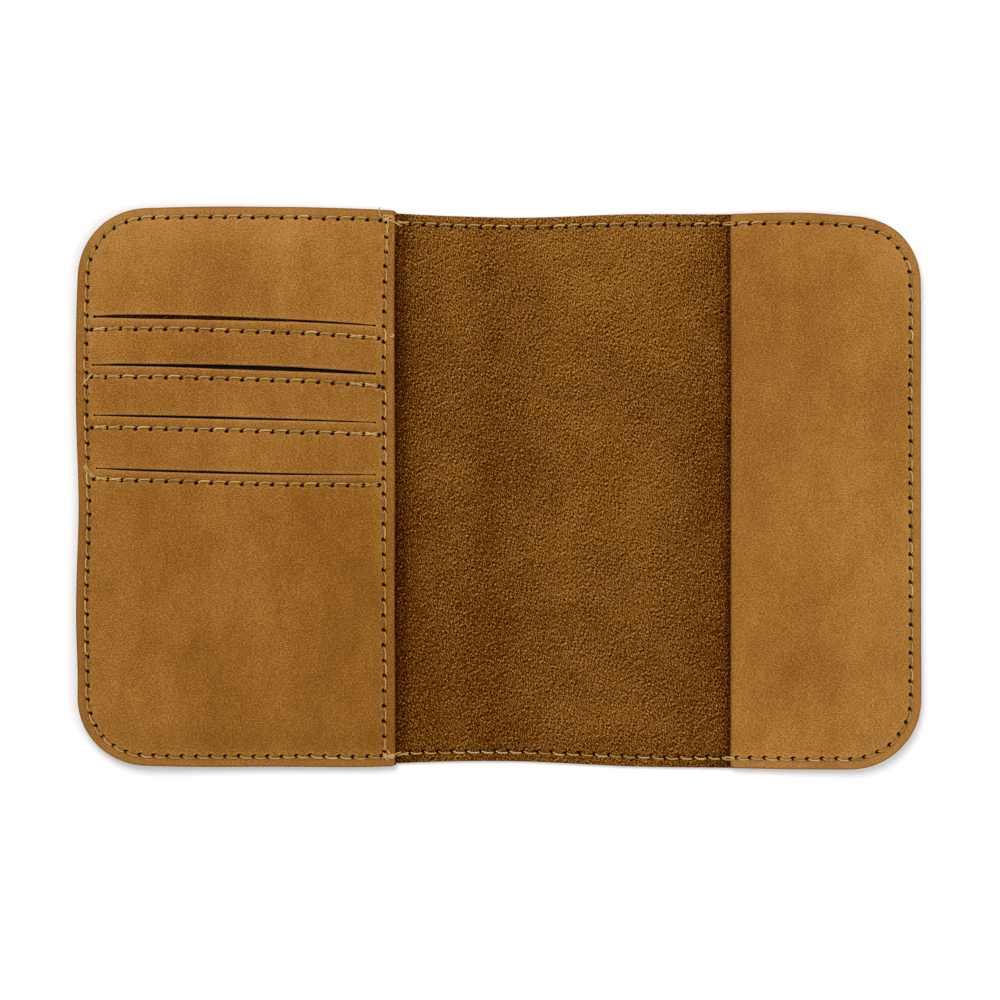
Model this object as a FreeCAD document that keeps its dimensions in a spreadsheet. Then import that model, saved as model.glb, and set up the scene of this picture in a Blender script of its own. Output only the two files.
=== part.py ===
"""Leather notebook cover, lying open with its inside face up.

One outer leather sheet folds along two lines beside a narrow spine strip. The front half carries a
leather card panel with slit pockets, fabric linings and a thin backing; the back half carries a leather
flap. Lockstitched seams hold the layers together. Frame: millimetres, origin at the middle of the
underside, +X from the card panel to the flap, +Y up the page, +Z out of the inside face.
"""

import FreeCAD, Part

import math
import os

import Sketcher

# name, value in millimetres (or a plain count), what it is
DIMENSIONS = [
    ("open_width", 262.0, "outer sheet, edge to edge, lying open"),
    ("open_height", 174.0, "outer sheet, top to bottom"),
    ("corner_radius", 22.0, "rounded outer corners"),
    ("spine_width", 14.0, "between the two fold lines"),
    ("spine_pinch", 1.4, "how much the sheet narrows at the spine, top and bottom"),
    ("pinch_run", 26.0, "length over which it narrows, beside each fold line"),
    ("cover_thickness", 1.4, "outer leather"),
    ("panel_thickness", 1.2, "leather of the card panel and the flap"),
    ("backing_thickness", 0.6, "thin leather behind the card pockets"),
    ("sleeve_gap", 1.2, "room for a notebook's cover under the backing and the flap"),
    ("card_panel_width", 99.0, "card panel, outer edge to inner edge"),
    ("flap_width", 59.0, "flap, outer edge to inner edge"),
    ("seam_margin", 4.5, "flat rim outside the rise of the panel and the flap"),
    ("rise_width", 5.0, "width of the slope from rim to raised middle"),
    ("slit_length", 88.0, "mouth of a card pocket"),
    ("slit_gap", 0.9, "opening of a slit"),
    ("slit_edge", 5.2, "from the outer edge to a slit"),
    ("slit_pitch", 15.5, "from one slit to the next"),
    ("first_slit", 52.0, "height of the top slit above the middle"),
    ("slit_count", 4, "card pockets"),
    ("lining_thickness", 0.18, "pocket lining fabric"),
    ("lining_step", 0.25, "depth from one lining to the next"),
    ("lining_side", 9.6, "from the outer edge to the side of a lining"),
    ("lining_depth", 50.0, "from a slit to the bottom of its lining"),
    ("lining_lip", 0.8, "from a slit to the top of its lining"),
    ("lining_top_margin", 7.0, "from a slit to the lower end of the sewn margin"),
    ("lining_bottom_margin", 4.0, "glued margin at the bottom of a lining"),
    ("lining_slope", 4.0, "length over which a lining changes depth"),
    ("lining_end", 1.0, "from the panel's inner edge to the side of a lining"),
    ("seam_inset", 3.0, "from an edge to its row of stitches"),
    ("slot_seam_drop", 3.6, "from a slit to the row of stitches below it"),
    ("slot_seam_edge", 5.0, "from the outer edge to the start of a slot seam"),
    ("edge_seam_end", 11.0, "from the top and bottom edges to the panel edge seam"),
    ("stitch_pitch", 4.4, "hole to hole"),
    ("hole_size", 0.9, "square awl hole"),
    ("leg_size", 0.6, "thread bundle inside a hole"),
    ("thread_width", 0.7, "thread lying on the leather"),
    ("thread_height", 0.36, "pressed thickness of that thread"),
    ("groove_width", 1.1, "stitching groove on the outside"),
    ("groove_depth", 0.45, "stitching groove on the outside"),
    ("fold_clearance", 0.1, "thread ends short of a fold line"),
    ("stitch_overrun", 0.35, "how far a stitch runs past an edge before it steps down"),
    ("perimeter_lock", 0.95, "height at which the two perimeter threads lock in a hole"),
    ("panel_edge_lock", 3.45, "height at which the two panel edge threads lock in a hole"),
    ("tool_clearance", 1.0, "how far a cutting tool runs past what it cuts"),
]

doc = FreeCAD.newDocument("notebook_cover")
sheet = doc.addObject("Spreadsheet::Sheet", "Sheet")
for row, (alias, value, meaning) in enumerate(DIMENSIONS, start=1):
    sheet.set(f"A{row}", meaning)
    sheet.set(f"B{row}", str(value))
    sheet.setAlias(f"B{row}", alias)
doc.recompute()

Vector = FreeCAD.Vector
FRONT, BACK = -1, 1  # the card panel's side and the flap's side, as the sign of X
SAME_HEIGHT = 1e-6  # two heights closer than this are the same
SLITS = range(int(sheet.get("slit_count")))  # the card pockets, from the top
nodes = []  # every finished sub-part, as a document object whose Label names its file


def size(alias):
    """The number in the spreadsheet's cell."""
    return float(sheet.get(alias))


def bound(expression):
    """An expression for setExpression, from one that gives each spreadsheet alias in square brackets."""
    return expression.replace("[", "Sheet.").replace("]", "")


def number(expression):
    """The value of such an expression."""
    for alias, _, _ in DIMENSIONS:
        expression = expression.replace(f"[{alias}]", repr(size(alias)))
    return FreeCAD.Units.Quantity(expression).Value


# Heights of the layers, as spreadsheet expressions. The rim is where the layers are sewn down.
COVER_TOP = "[cover_thickness]"
BACKING_RIM_TOP = "([cover_thickness] + [backing_thickness])"
BACKING_LOW = "([cover_thickness] + [sleeve_gap])"
BACKING_TOP = "([cover_thickness] + [sleeve_gap] + [backing_thickness])"
PANEL_RIM_TOP = "([cover_thickness] + [backing_thickness] + [panel_thickness])"
PANEL_LOW = "([cover_thickness] + [sleeve_gap] + [backing_thickness] + [slit_count] * [lining_step])"
PANEL_RISE = "([sleeve_gap] + [slit_count] * [lining_step])"
FLAP_RIM_TOP = "([cover_thickness] + [panel_thickness])"
HALF_WIDTH = "([open_width] / 2)"
HALF_HEIGHT = "([open_height] / 2)"
PANEL_EDGE = "([open_width] / 2 - [card_panel_width])"
FLAP_EDGE = "([open_width] / 2 - [flap_width])"


# ---------------------------------------------------------------- sketches and bodies


def body_named(label):
    body = doc.addObject("PartDesign::Body", label)
    body.Label = label
    return body


def plane_of(body, role):
    return next(f for f in body.Origin.OriginFeatures if f.Role == role)


def sketch_on(body, name, role, offset="0"):
    """A sketch on one of the body's own planes, moved along that plane's normal by the offset expression."""
    sketch = body.newObject("Sketcher::SketchObject", name)
    sketch.AttachmentSupport = [(plane_of(body, role), "")]
    sketch.MapMode = "FlatFace"
    sketch.setExpression("AttachmentOffset.Base.z", bound(offset))
    return sketch


def bind_point(sketch, geometry, end, across=None, up=None):
    """Ties one end of a sketch element to signed distances from the sketch's origin."""
    for kind, expression in (("DistanceX", across), ("DistanceY", up)):
        if expression is not None:
            index = sketch.addConstraint(
                Sketcher.Constraint(kind, -1, 1, geometry, end, number(expression))
            )
            sketch.setExpression(f"Constraints[{index}]", bound(expression))


def polygon(sketch, corners):
    """A closed outline of straight edges; each corner is a pair of expressions."""
    points = [Vector(number(x), number(y)) for x, y in corners]
    count = len(points)
    for i in range(count):
        sketch.addGeometry(Part.LineSegment(points[i], points[(i + 1) % count]), False)
    for i in range(count):
        sketch.addConstraint(Sketcher.Constraint("Coincident", i, 2, (i + 1) % count, 1))
    for i, (x, y) in enumerate(corners):
        bind_point(sketch, i, 1, x, y)


def rounded_half(sketch, side, inner, inset="0", overhang="0", pinched=False):
    """The outline of one half: square at its inner edge, with two rounded corners at its outer edge.

    inset draws the top, bottom and outer edges in; overhang carries the inner edge on towards the spine;
    pinched narrows the sheet towards the fold line."""
    sign = "-1" if side == FRONT else "1"
    inner_x = f"{sign} * ({inner} - {overhang})"
    outer_x = f"{sign} * ({HALF_WIDTH} - {inset})"
    half = f"({HALF_HEIGHT} - {inset})"
    radius = f"([corner_radius] - {inset})"
    xi, xo, yh, r = (number(e) for e in (inner_x, outer_x, half, radius))
    xr = xo - side * r
    bow = r * math.sqrt(0.5)
    top_arc = Part.Arc(Vector(xr, yh), Vector(xr + side * bow, yh - r + bow), Vector(xo, yh - r))
    low_arc = Part.Arc(Vector(xo, r - yh), Vector(xr + side * bow, r - yh - bow), Vector(xr, -yh))
    start_x = number(f"{sign} * ({inner} + [pinch_run])") if pinched else xi
    outline = [
        Part.LineSegment(Vector(start_x, yh), Vector(xr, yh)),
        top_arc,
        Part.LineSegment(Vector(xo, yh - r), Vector(xo, r - yh)),
        low_arc,
        Part.LineSegment(Vector(xr, -yh), Vector(start_x, -yh)),
    ]
    end_y = number(f"{HALF_HEIGHT} - [spine_pinch]") if pinched else yh
    if pinched:
        outline.append(Part.LineSegment(Vector(start_x, -yh), Vector(xi, -end_y)))
    outline.append(Part.LineSegment(Vector(xi, -end_y), Vector(xi, end_y)))
    if pinched:
        outline.append(Part.LineSegment(Vector(xi, end_y), Vector(start_x, yh)))
    sketch.addGeometry(outline, False)

    ends = {True: (2, 1), False: (1, 2)}  # an arc runs anticlockwise, so its ends swap on one side
    first, last = ends[side == BACK]
    add = sketch.addConstraint
    add(Sketcher.Constraint("Tangent", 0, 2, 1, first))
    add(Sketcher.Constraint("Tangent", 1, last, 2, 1))
    add(Sketcher.Constraint("Tangent", 2, 2, 3, first))
    add(Sketcher.Constraint("Tangent", 3, last, 4, 1))
    for i in range(4, len(outline)):
        add(Sketcher.Constraint("Coincident", i, 2, (i + 1) % len(outline), 1))
    for i in (0, 4):
        add(Sketcher.Constraint("Horizontal", i))
    add(Sketcher.Constraint("Vertical", 2))
    add(Sketcher.Constraint("Equal", 1, 3))
    index = add(Sketcher.Constraint("Radius", 1, r))
    sketch.setExpression(f"Constraints[{index}]", bound(radius))
    bind_point(sketch, 2, 1, across=outer_x)
    bind_point(sketch, 0, 1, up=half)
    bind_point(sketch, 4, 2, up=f"-1 * {half}")
    if pinched:
        run_x = f"{sign} * ({inner} + [pinch_run])"
        end = f"({HALF_HEIGHT} - [spine_pinch])"
        bind_point(sketch, 0, 1, across=run_x)
        bind_point(sketch, 4, 2, across=run_x)
        bind_point(sketch, 6, 1, across=inner_x, up=f"-1 * {end}")
        bind_point(sketch, 6, 2, across=inner_x, up=end)
    else:
        bind_point(sketch, 5, 1, across=inner_x)
        add(Sketcher.Constraint("Vertical", 5))


def pad(body, sketch, length):
    feature = body.newObject("PartDesign::Pad", f"{body.Label}_pad")
    feature.Profile = sketch
    feature.setExpression("Length", bound(length))
    return feature


def loft(body, kind, name, lower, upper):
    """A straight-sided loft between two sketches, added to the body or taken from it."""
    feature = body.newObject(f"PartDesign::{kind}", name)
    feature.Profile = lower
    feature.Sections = [upper]
    feature.Ruled = True
    return feature


def raised_sheet(label, side, inner, low, thickness, rise):
    """A leather sheet sewn flat along three edges and raised in the middle, open at its inner edge."""
    body = body_named(label)
    wide, narrow = "[seam_margin]", "([seam_margin] + [rise_width])"
    rim = sketch_on(body, f"{label}_rim", "XY_Plane", low)
    rounded_half(rim, side, inner)
    pad(body, rim, thickness)
    sections = {}
    for layer, base, overhang in (
        ("crown", f"({low} + {thickness})", "0"),
        ("hollow", low, "[tool_clearance]"),
    ):
        for step, inset, level in (("foot", wide, base), ("head", narrow, f"({base} + {rise})")):
            section = sketch_on(body, f"{label}_{layer}_{step}", "XY_Plane", level)
            rounded_half(section, side, inner, inset, overhang)
            sections[layer, step] = section
    loft(body, "AdditiveLoft", f"{label}_crown", sections["crown", "foot"], sections["crown", "head"])
    loft(body, "SubtractiveLoft", f"{label}_hollow", sections["hollow", "foot"], sections["hollow", "head"])
    doc.recompute()
    return body


# ---------------------------------------------------------------- leather and lining blanks


def cover_half(label, side):
    """One half of the outer leather, from the fold line out."""
    body = body_named(label)
    outline = sketch_on(body, f"{label}_outline", "XY_Plane")
    rounded_half(outline, side, "([spine_width] / 2)", pinched=True)
    pad(body, outline, COVER_TOP)
    doc.recompute()
    return body


def cover_spine(label):
    """The strip of the outer leather between the two fold lines."""
    body = body_named(label)
    outline = sketch_on(body, f"{label}_outline", "XY_Plane")
    x, y = "[spine_width] / 2", f"({HALF_HEIGHT} - [spine_pinch])"
    polygon(outline, [(f"-1 * {x}", f"-1 * {y}"), (x, f"-1 * {y}"), (x, y), (f"-1 * {x}", y)])
    pad(body, outline, COVER_TOP)
    doc.recompute()
    return body


def cut_slits(body):
    """Pocket mouths: one slit through the panel, repeated down it."""
    slit = sketch_on(body, "slit", "XY_Plane")
    left = f"([slit_edge] - {HALF_WIDTH})"
    right = f"({left} + [slit_length])"
    low, high = "([first_slit] - [slit_gap] / 2)", "([first_slit] + [slit_gap] / 2)"
    polygon(slit, [(left, low), (right, low), (right, high), (left, high)])
    cut = body.newObject("PartDesign::Pocket", "slit_cut")
    cut.Profile = slit
    cut.Type = "ThroughAll"
    cut.Midplane = True
    doc.recompute()
    before = body.Shape.Volume
    rows = body.newObject("PartDesign::LinearPattern", "slit_rows")
    rows.Originals = [cut]
    rows.Direction = (slit, ["V_Axis"])
    rows.Reversed = True
    rows.setExpression("Length", bound("[slit_pitch] * ([slit_count] - 1)"))
    rows.setExpression("Occurrences", bound("[slit_count]"))
    body.Tip = rows
    doc.recompute()
    assert body.Shape.Volume < before, "the slit pattern cut nothing"


def slit_height(index):
    """The height up the page of slit number index, counted from 0 at the top."""
    return f"([first_slit] - {index} * [slit_pitch])"


def pocket_lining(label, index):
    """The fabric front wall of one card pocket.

    It is sewn behind the panel just under its slit, drops back behind the linings of the lower slits, and is
    glued to the backing at its bottom."""
    body = body_named(label)
    behind = f"({PANEL_LOW} - ([slit_count] - 1 - {index}) * [lining_step])"
    floor = f"({BACKING_TOP} + [lining_thickness])"
    slit = slit_height(index)
    bottom = f"({slit} - [lining_depth])"
    run = [
        (f"({slit} - [lining_lip])", PANEL_LOW),
        (f"({slit} - [lining_top_margin])", PANEL_LOW),
        (f"({slit} - [lining_top_margin] - [lining_slope])", behind),
        (f"({bottom} + [lining_bottom_margin] + [lining_slope])", behind),
        (f"({bottom} + [lining_bottom_margin])", floor),
        (bottom, floor),
    ]
    if index == SLITS[-1]:  # the last one never leaves the panel's level at its top
        run = [run[0], *run[3:]]
    back = [(y, f"({z} - [lining_thickness])") for y, z in reversed(run)]
    start = f"([lining_side] - {HALF_WIDTH})"
    profile = sketch_on(body, f"{label}_profile", "YZ_Plane", start)
    polygon(profile, run + back)
    pad(body, profile, "([card_panel_width] - [lining_side] - [lining_end])")
    doc.recompute()
    return body


cover_front = cover_half("cover_front_blank", FRONT)
cover_middle = cover_spine("cover_spine_blank")
cover_back = cover_half("cover_back_blank", BACK)
backing = raised_sheet(
    "pocket_backing_blank", FRONT, PANEL_EDGE, COVER_TOP, "[backing_thickness]", "[sleeve_gap]"
)
panel = raised_sheet(
    "card_panel_blank", FRONT, PANEL_EDGE, BACKING_RIM_TOP, "[panel_thickness]", PANEL_RISE
)
cut_slits(panel)
flap = raised_sheet(
    "notebook_flap_blank", BACK, FLAP_EDGE, COVER_TOP, "[panel_thickness]", "[sleeve_gap]"
)
linings = [pocket_lining(f"pocket_lining_{i + 1}_blank", i) for i in SLITS]


# ---------------------------------------------------------------- seams

PITCH = size("stitch_pitch")
INSET = size("seam_inset")
COVER = size("cover_thickness")
TOP_OF_PANEL_RIM = number(PANEL_RIM_TOP)
TOP_OF_FLAP_RIM = number(FLAP_RIM_TOP)
HALF_W, HALF_H = number(HALF_WIDTH), number(HALF_HEIGHT)
FOLD = size("spine_width") / 2


def perimeter_path(side):
    """The row of stitches round one half, from the top of its fold line to the bottom."""
    radius = size("corner_radius") - INSET
    top, low = HALF_H - INSET, HALF_H - INSET - size("spine_pinch")
    out, turn = HALF_W - INSET, HALF_W - INSET - radius
    start = FOLD + size("fold_clearance")
    run = FOLD + size("pinch_run")
    bow = radius * math.sqrt(0.5)

    def at(x, y):
        return Vector(side * x, y)

    upper = Part.Arc(at(turn, top), at(turn + bow, top - radius + bow), at(out, top - radius))
    lower = Part.Arc(at(out, radius - top), at(turn + bow, radius - top - bow), at(turn, -top))
    return Part.Wire(
        [
            Part.makeLine(at(start, low), at(run, top)),
            Part.makeLine(at(run, top), at(turn, top)),
            upper.toShape(),
            Part.makeLine(at(out, top - radius), at(out, radius - top)),
            lower.toShape(),
            Part.makeLine(at(turn, -top), at(run, -top)),
            Part.makeLine(at(run, -top), at(start, -low)),
        ]
    )


def spine_path(side):
    """The row of stitches across the spine strip, along its top or bottom edge."""
    y = side * (HALF_H - INSET - size("spine_pinch"))
    end = FOLD - size("fold_clearance")
    return Part.Wire([Part.makeLine(Vector(-end, y), Vector(end, y))])


def holes_along(path):
    """Hole centres along a path, half a pitch from its ends and evenly spaced between them."""
    count = max(1, round(path.Length / PITCH))
    return path.discretize(Number=2 * count + 1)[1::2]


def directions(points):
    """The direction of the seam at each hole, as an angle in degrees."""
    angles = []
    for i in range(len(points)):
        before, after = points[max(0, i - 1)], points[min(len(points) - 1, i + 1)]
        angles.append(math.degrees(math.atan2(after.y - before.y, after.x - before.x)))
    return angles


def block(point, angle, across, low, high):
    """A square post round a hole's axis."""
    post = Part.makeBox(across, across, high - low, Vector(-across / 2, -across / 2, low))
    post.rotate(Vector(0, 0), Vector(0, 0, 1), angle)
    post.translate(Vector(point.x, point.y))
    return post


def strand(start, end, width, height, knee=None, down=False):
    """One stitch between two holes: a flattened thread on the leather, above it or, if down, below it.

    start and end are on the leather's surface. knee is the share of the way along at which a stitch that
    steps off an edge starts to come down."""
    along = Vector(end.x - start.x, end.y - start.y)
    length = along.Length
    along.normalize()
    side = Vector(-along.y, along.x) * (width / 2)
    lift = -height if down else height
    foot = [(0, start.z)]
    if knee is not None:
        high = max(start.z, end.z)
        foot.append((knee * length, high))
    foot.append((length, end.z))
    crown = [(s, z + lift) for s, z in reversed(foot)]
    corners = [Vector(start.x, start.y) + along * s + Vector(0, 0, z) - side for s, z in foot + crown]
    return Part.Face(Part.makePolygon([*corners, corners[0]])).extrude(side * 2)


def step_between(a, b, edges):
    """The share of the way from a to b at which a stitch has cleared the edge that it steps off."""
    if abs(a.z - b.z) < SAME_HEIGHT:
        return None
    high, low = (a, b) if a.z > b.z else (b, a)
    for edge in edges:
        past = edge + math.copysign(size("stitch_overrun"), low.x - high.x)
        if min(a.x, b.x) < edge < max(a.x, b.x):
            return (past - a.x) / (b.x - a.x)
    return None


def thread(points, surface, depth, ends=(), edges=(), down=False):
    """One continuous thread: a stitch between each pair of holes and a leg down each hole.

    surface(x, y) is the leather's height there and depth(x, y) the height that the legs reach to. ends are
    points where the thread is cut at a fold line, and edges the X of each edge that the seam steps off."""
    raised = [Vector(p.x, p.y, surface(p.x, p.y)) for p in points]
    tips = [Vector(p.x, p.y, surface(p.x, p.y)) for p in ends]
    run = tips[:1] + raised + tips[1:]
    height = size("thread_height")
    solids = [
        strand(a, b, size("thread_width"), height, step_between(a, b, edges), down)
        for a, b in zip(run, run[1:])
    ]
    for p, angle in zip(raised, directions(points)):
        reach = sorted((depth(p.x, p.y), p.z + (-height if down else height)))
        solids.append(block(p, angle, size("leg_size"), *reach))
    return solids[0].multiFuse(solids[1:]).removeSplitter()


def add_shape(name, label, shape):
    feature = doc.addObject("Part::Feature", name)
    feature.Label = label
    feature.Shape = shape
    return feature


def add_node(name, shape):
    """A finished sub-part whose shape comes from code."""
    nodes.append(add_shape(name, name, shape))


def hole_posts(points, low, high):
    across = size("hole_size")
    return [block(p, a, across, low, high) for p, a in zip(points, directions(points))]


def pierced(name, blank, *tools):
    """The finished leather or lining: its blank with the seams' holes and grooves cut away."""
    solids = [s for tool in tools for s in tool]
    tool = add_shape(f"{name}_tool", f"{name}_tool", Part.makeCompound(solids))
    cut = doc.addObject("Part::Cut", name)
    cut.Base = blank
    cut.Tool = tool
    cut.Label = name
    nodes.append(cut)


def groove_posts(path, points):
    """The stitching groove on the outside, with the holes that open into it."""
    across = size("groove_width") / 2
    if len(path.Edges) == 1:  # a straight run across the spine
        a, b = (v.Point for v in path.OrderedVertexes)
        groove = Part.makeBox(b.x - a.x, 2 * across, size("groove_depth"), Vector(a.x, a.y - across))
    else:
        face = Part.Face(path.makeOffset2D(across, 2, False, False))
        groove = face.extrude(Vector(0, 0, size("groove_depth")))
    return [groove.multiFuse(hole_posts(points, 0.0, COVER))]


def panel_height(x, y):
    """The card panel's top surface, rim, slope or raised middle."""
    inset = min(HALF_W - abs(x), HALF_H - abs(y))
    climb = min(1.0, max(0.0, (inset - size("seam_margin")) / size("rise_width")))
    return TOP_OF_PANEL_RIM + climb * number(PANEL_RISE)


def front_height(x, y):
    """Inside surface under the perimeter seam on the front half."""
    return TOP_OF_PANEL_RIM if abs(x) > number(PANEL_EDGE) else COVER


def back_height(x, y):
    """Inside surface under the perimeter seam on the back half."""
    return TOP_OF_FLAP_RIM if abs(x) > number(FLAP_EDGE) else COVER


def level(height):
    """A surface of one constant height."""
    return lambda x, y: height


PERIMETER_LOCK = level(size("perimeter_lock"))
PANEL_EDGE_LOCK = level(size("panel_edge_lock"))

perimeters = {side: perimeter_path(side) for side in (FRONT, BACK)}
perimeter_holes = {side: holes_along(path) for side, path in perimeters.items()}
spines = [spine_path(1), spine_path(-1)]
spine_holes = [holes_along(path) for path in spines]


def perimeter_threads(label, paths, holes, surface, edges=()):
    """The needle thread on the inside and the bobbin thread on the outside."""
    for kind, top, down in (
        ("needle", surface, False),
        ("bobbin", level(size("groove_depth")), True),
    ):
        runs = [
            thread(
                points,
                top,
                PERIMETER_LOCK,
                ends=[v.Point for v in (path.OrderedVertexes[0], path.OrderedVertexes[-1])],
                edges=edges,
                down=down,
            )
            for path, points in zip(paths, holes)
        ]
        add_node(f"perimeter_{kind}_thread_{label}", Part.makeCompound(runs) if len(runs) > 1 else runs[0])


perimeter_threads(
    "front", [perimeters[FRONT]], [perimeter_holes[FRONT]], front_height, [-number(PANEL_EDGE)]
)
perimeter_threads("spine", spines, spine_holes, level(COVER))
perimeter_threads(
    "back", [perimeters[BACK]], [perimeter_holes[BACK]], back_height, [number(FLAP_EDGE)]
)

# The seam that closes the card pockets along the panel's inner edge: panel, linings and backing.
edge_x = -number(PANEL_EDGE) - INSET
edge_reach = HALF_H - size("edge_seam_end")
edge_holes = holes_along(Part.Wire([Part.makeLine(Vector(edge_x, edge_reach), Vector(edge_x, -edge_reach))]))
add_node("panel_edge_needle_thread", thread(edge_holes, panel_height, PANEL_EDGE_LOCK))
add_node(
    "panel_edge_bobbin_thread",
    thread(edge_holes, level(number(BACKING_LOW)), PANEL_EDGE_LOCK, down=True),
)

# A seam under each slit sews the panel to that pocket's lining.
slot_start = size("slot_seam_edge") - HALF_W
slot_end = size("slit_edge") + size("slit_length") - HALF_W
rise_head = size("seam_margin") + size("rise_width") - HALF_W  # where the slope meets the raised middle
slot_holes = []


def slot_depth(x, y):
    """Underside of the panel, or of the lining where there is one."""
    through = size("panel_thickness")
    if x > size("lining_side") - HALF_W:
        through += size("lining_thickness")
    return panel_height(x, y) - through


for index in SLITS:
    y = number(slit_height(index)) - size("slot_seam_drop")
    holes = holes_along(Part.Wire([Part.makeLine(Vector(slot_start, y), Vector(slot_end, y))]))
    slot_holes.append(holes)
    add_node(f"slot_thread_{index + 1}", thread(holes, panel_height, slot_depth, edges=[rise_head]))

ABOVE = number(PANEL_LOW) + size("panel_thickness") + size("tool_clearance")  # clear above every layer
pierced("cover_front", cover_front, groove_posts(perimeters[FRONT], perimeter_holes[FRONT]))
pierced("cover_spine", cover_middle, *[groove_posts(p, h) for p, h in zip(spines, spine_holes)])
pierced("cover_back", cover_back, groove_posts(perimeters[BACK], perimeter_holes[BACK]))
under_panel = [p for p in perimeter_holes[FRONT] if abs(p.x) > number(PANEL_EDGE)]
under_flap = [p for p in perimeter_holes[BACK] if abs(p.x) > number(FLAP_EDGE)]
pierced(
    "pocket_backing", backing, hole_posts(under_panel, 0, ABOVE), hole_posts(edge_holes, 0, ABOVE)
)
pierced(
    "card_panel",
    panel,
    hole_posts(under_panel, 0, ABOVE),
    hole_posts(edge_holes, 0, ABOVE),
    *[hole_posts(holes, 0, ABOVE) for holes in slot_holes],
)
pierced("notebook_flap", flap, hole_posts(under_flap, 0, ABOVE))
for index, lining in enumerate(linings):
    pierced(
        f"pocket_lining_{index + 1}",
        lining,
        hole_posts(slot_holes[index], number(BACKING_TOP), ABOVE),
        hole_posts(edge_holes, 0, ABOVE),
    )

doc.recompute()


# ---------------------------------------------------------------- checks and export


def faults():
    """Every object that failed to build and every sub-part whose shape is missing or invalid."""
    found = [f"{o.Name} failed" for o in doc.Objects if {"Invalid", "Error"} & set(o.State)]
    for node in nodes:
        shape = node.Shape
        if shape.isNull() or not shape.isValid() or not shape.Solids:
            found.append(f"{node.Label} has no valid solid")
    return found


problems = faults()
if problems:
    raise SystemExit("\n".join(problems))

os.makedirs("parts", exist_ok=True)
for node in nodes:
    node.Shape.exportStep(os.path.join("parts", f"{node.Label}.step"))
    box = node.Shape.BoundBox
    print(
        f"{node.Label}: {len(node.Shape.Solids)} solid(s), {node.Shape.Volume:.1f} mm3,"
        f" z {box.ZMin:.2f} to {box.ZMax:.2f}"
    )
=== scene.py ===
"""The look of a leather notebook cover, lying open with its inside face up.

Everything is planned flat in millimetres, on the CAD frame's axes: sheets of leather with rounded cut
edges, stitch holes and slits, and threads that run from hole to hole. One function, settle(), then lays
the whole plan down as the used cover lies, so that layers, holes and threads stay together.
"""

import math
import random
from collections import namedtuple

import bmesh
import bpy
import numpy as np
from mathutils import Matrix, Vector, noise
from mathutils.geometry import delaunay_2d_cdt
from mathutils.kdtree import KDTree


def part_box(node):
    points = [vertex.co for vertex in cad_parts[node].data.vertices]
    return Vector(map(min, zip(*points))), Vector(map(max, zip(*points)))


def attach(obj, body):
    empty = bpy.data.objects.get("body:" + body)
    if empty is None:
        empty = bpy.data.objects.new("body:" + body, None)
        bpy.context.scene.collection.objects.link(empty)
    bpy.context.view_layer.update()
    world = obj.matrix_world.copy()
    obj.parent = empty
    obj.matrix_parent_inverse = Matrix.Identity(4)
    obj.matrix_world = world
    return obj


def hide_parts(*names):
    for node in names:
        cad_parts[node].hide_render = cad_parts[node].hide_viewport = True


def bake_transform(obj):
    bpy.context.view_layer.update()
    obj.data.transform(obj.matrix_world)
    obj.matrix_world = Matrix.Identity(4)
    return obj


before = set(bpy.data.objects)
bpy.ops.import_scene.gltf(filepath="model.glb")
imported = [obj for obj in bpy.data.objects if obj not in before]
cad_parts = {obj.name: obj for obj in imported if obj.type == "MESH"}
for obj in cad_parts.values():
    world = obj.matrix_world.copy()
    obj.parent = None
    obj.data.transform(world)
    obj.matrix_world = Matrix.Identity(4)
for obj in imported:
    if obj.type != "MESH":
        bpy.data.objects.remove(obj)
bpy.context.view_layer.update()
MM = 0.001

# -------- sizes, in millimetres


def corners_of(node):
    """Lowest and highest corner of a CAD node, in millimetres."""
    return [Vector(corner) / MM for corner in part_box(node)]


HALF_W, HALF_H, COVER = corners_of("cover_back")[1]
FOLD = corners_of("cover_spine")[1].x
PANEL_EDGE = corners_of("card_panel")[1].x
FLAP_EDGE = corners_of("notebook_flap")[0].x
PANEL_LOW, PANEL_TOP = corners_of("card_panel")[0].z, corners_of("card_panel")[1].z
BACKING_TOP = corners_of("pocket_backing")[1].z
FLAP_TOP = corners_of("notebook_flap")[1].z

CORNER = 22.0  # radius of the outer corners
BACKING = PANEL_LOW - COVER  # thickness of the leather behind the card pockets
LEATHER = 1.2  # thickness of the card panel and the flap
RISE_START, RISE_RUN = 4.0, 9.0  # how far in the inner leathers begin to rise, and over what length
BACKING_SAG = 0.15  # where it has risen, the backing hangs this far below its CAD height
SEAM_INSET = 3.1
PITCH = 4.4  # perimeter stitches, hole to hole
INNER_PITCH = 4.75  # slot and panel edge stitches
EDGE_ROUND = 0.4  # radius of a cut edge
EDGE_RINGS = (0.12, 0.32, 0.7)  # how far in from a cut edge its rows of mesh points lie
LINING, LINING_STEP = 0.16, 0.2  # thickness of a pocket lining, and from one to the next
LINING_CLEAR = 0.3  # from the panel's underside to the first lining
LINING_SIDE = 12.0  # from the outer edge to the side of a lining
TUCK = 0.75  # beside the spine, the cover's edge stands this far behind the panel's
INSIDE_MARKS = (0.2, 0.9)  # on the inside face, how deep a stitch's groove and a hole are
OUTSIDE_MARKS = (0.42, 0.6)  # the same on the outside face

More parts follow.
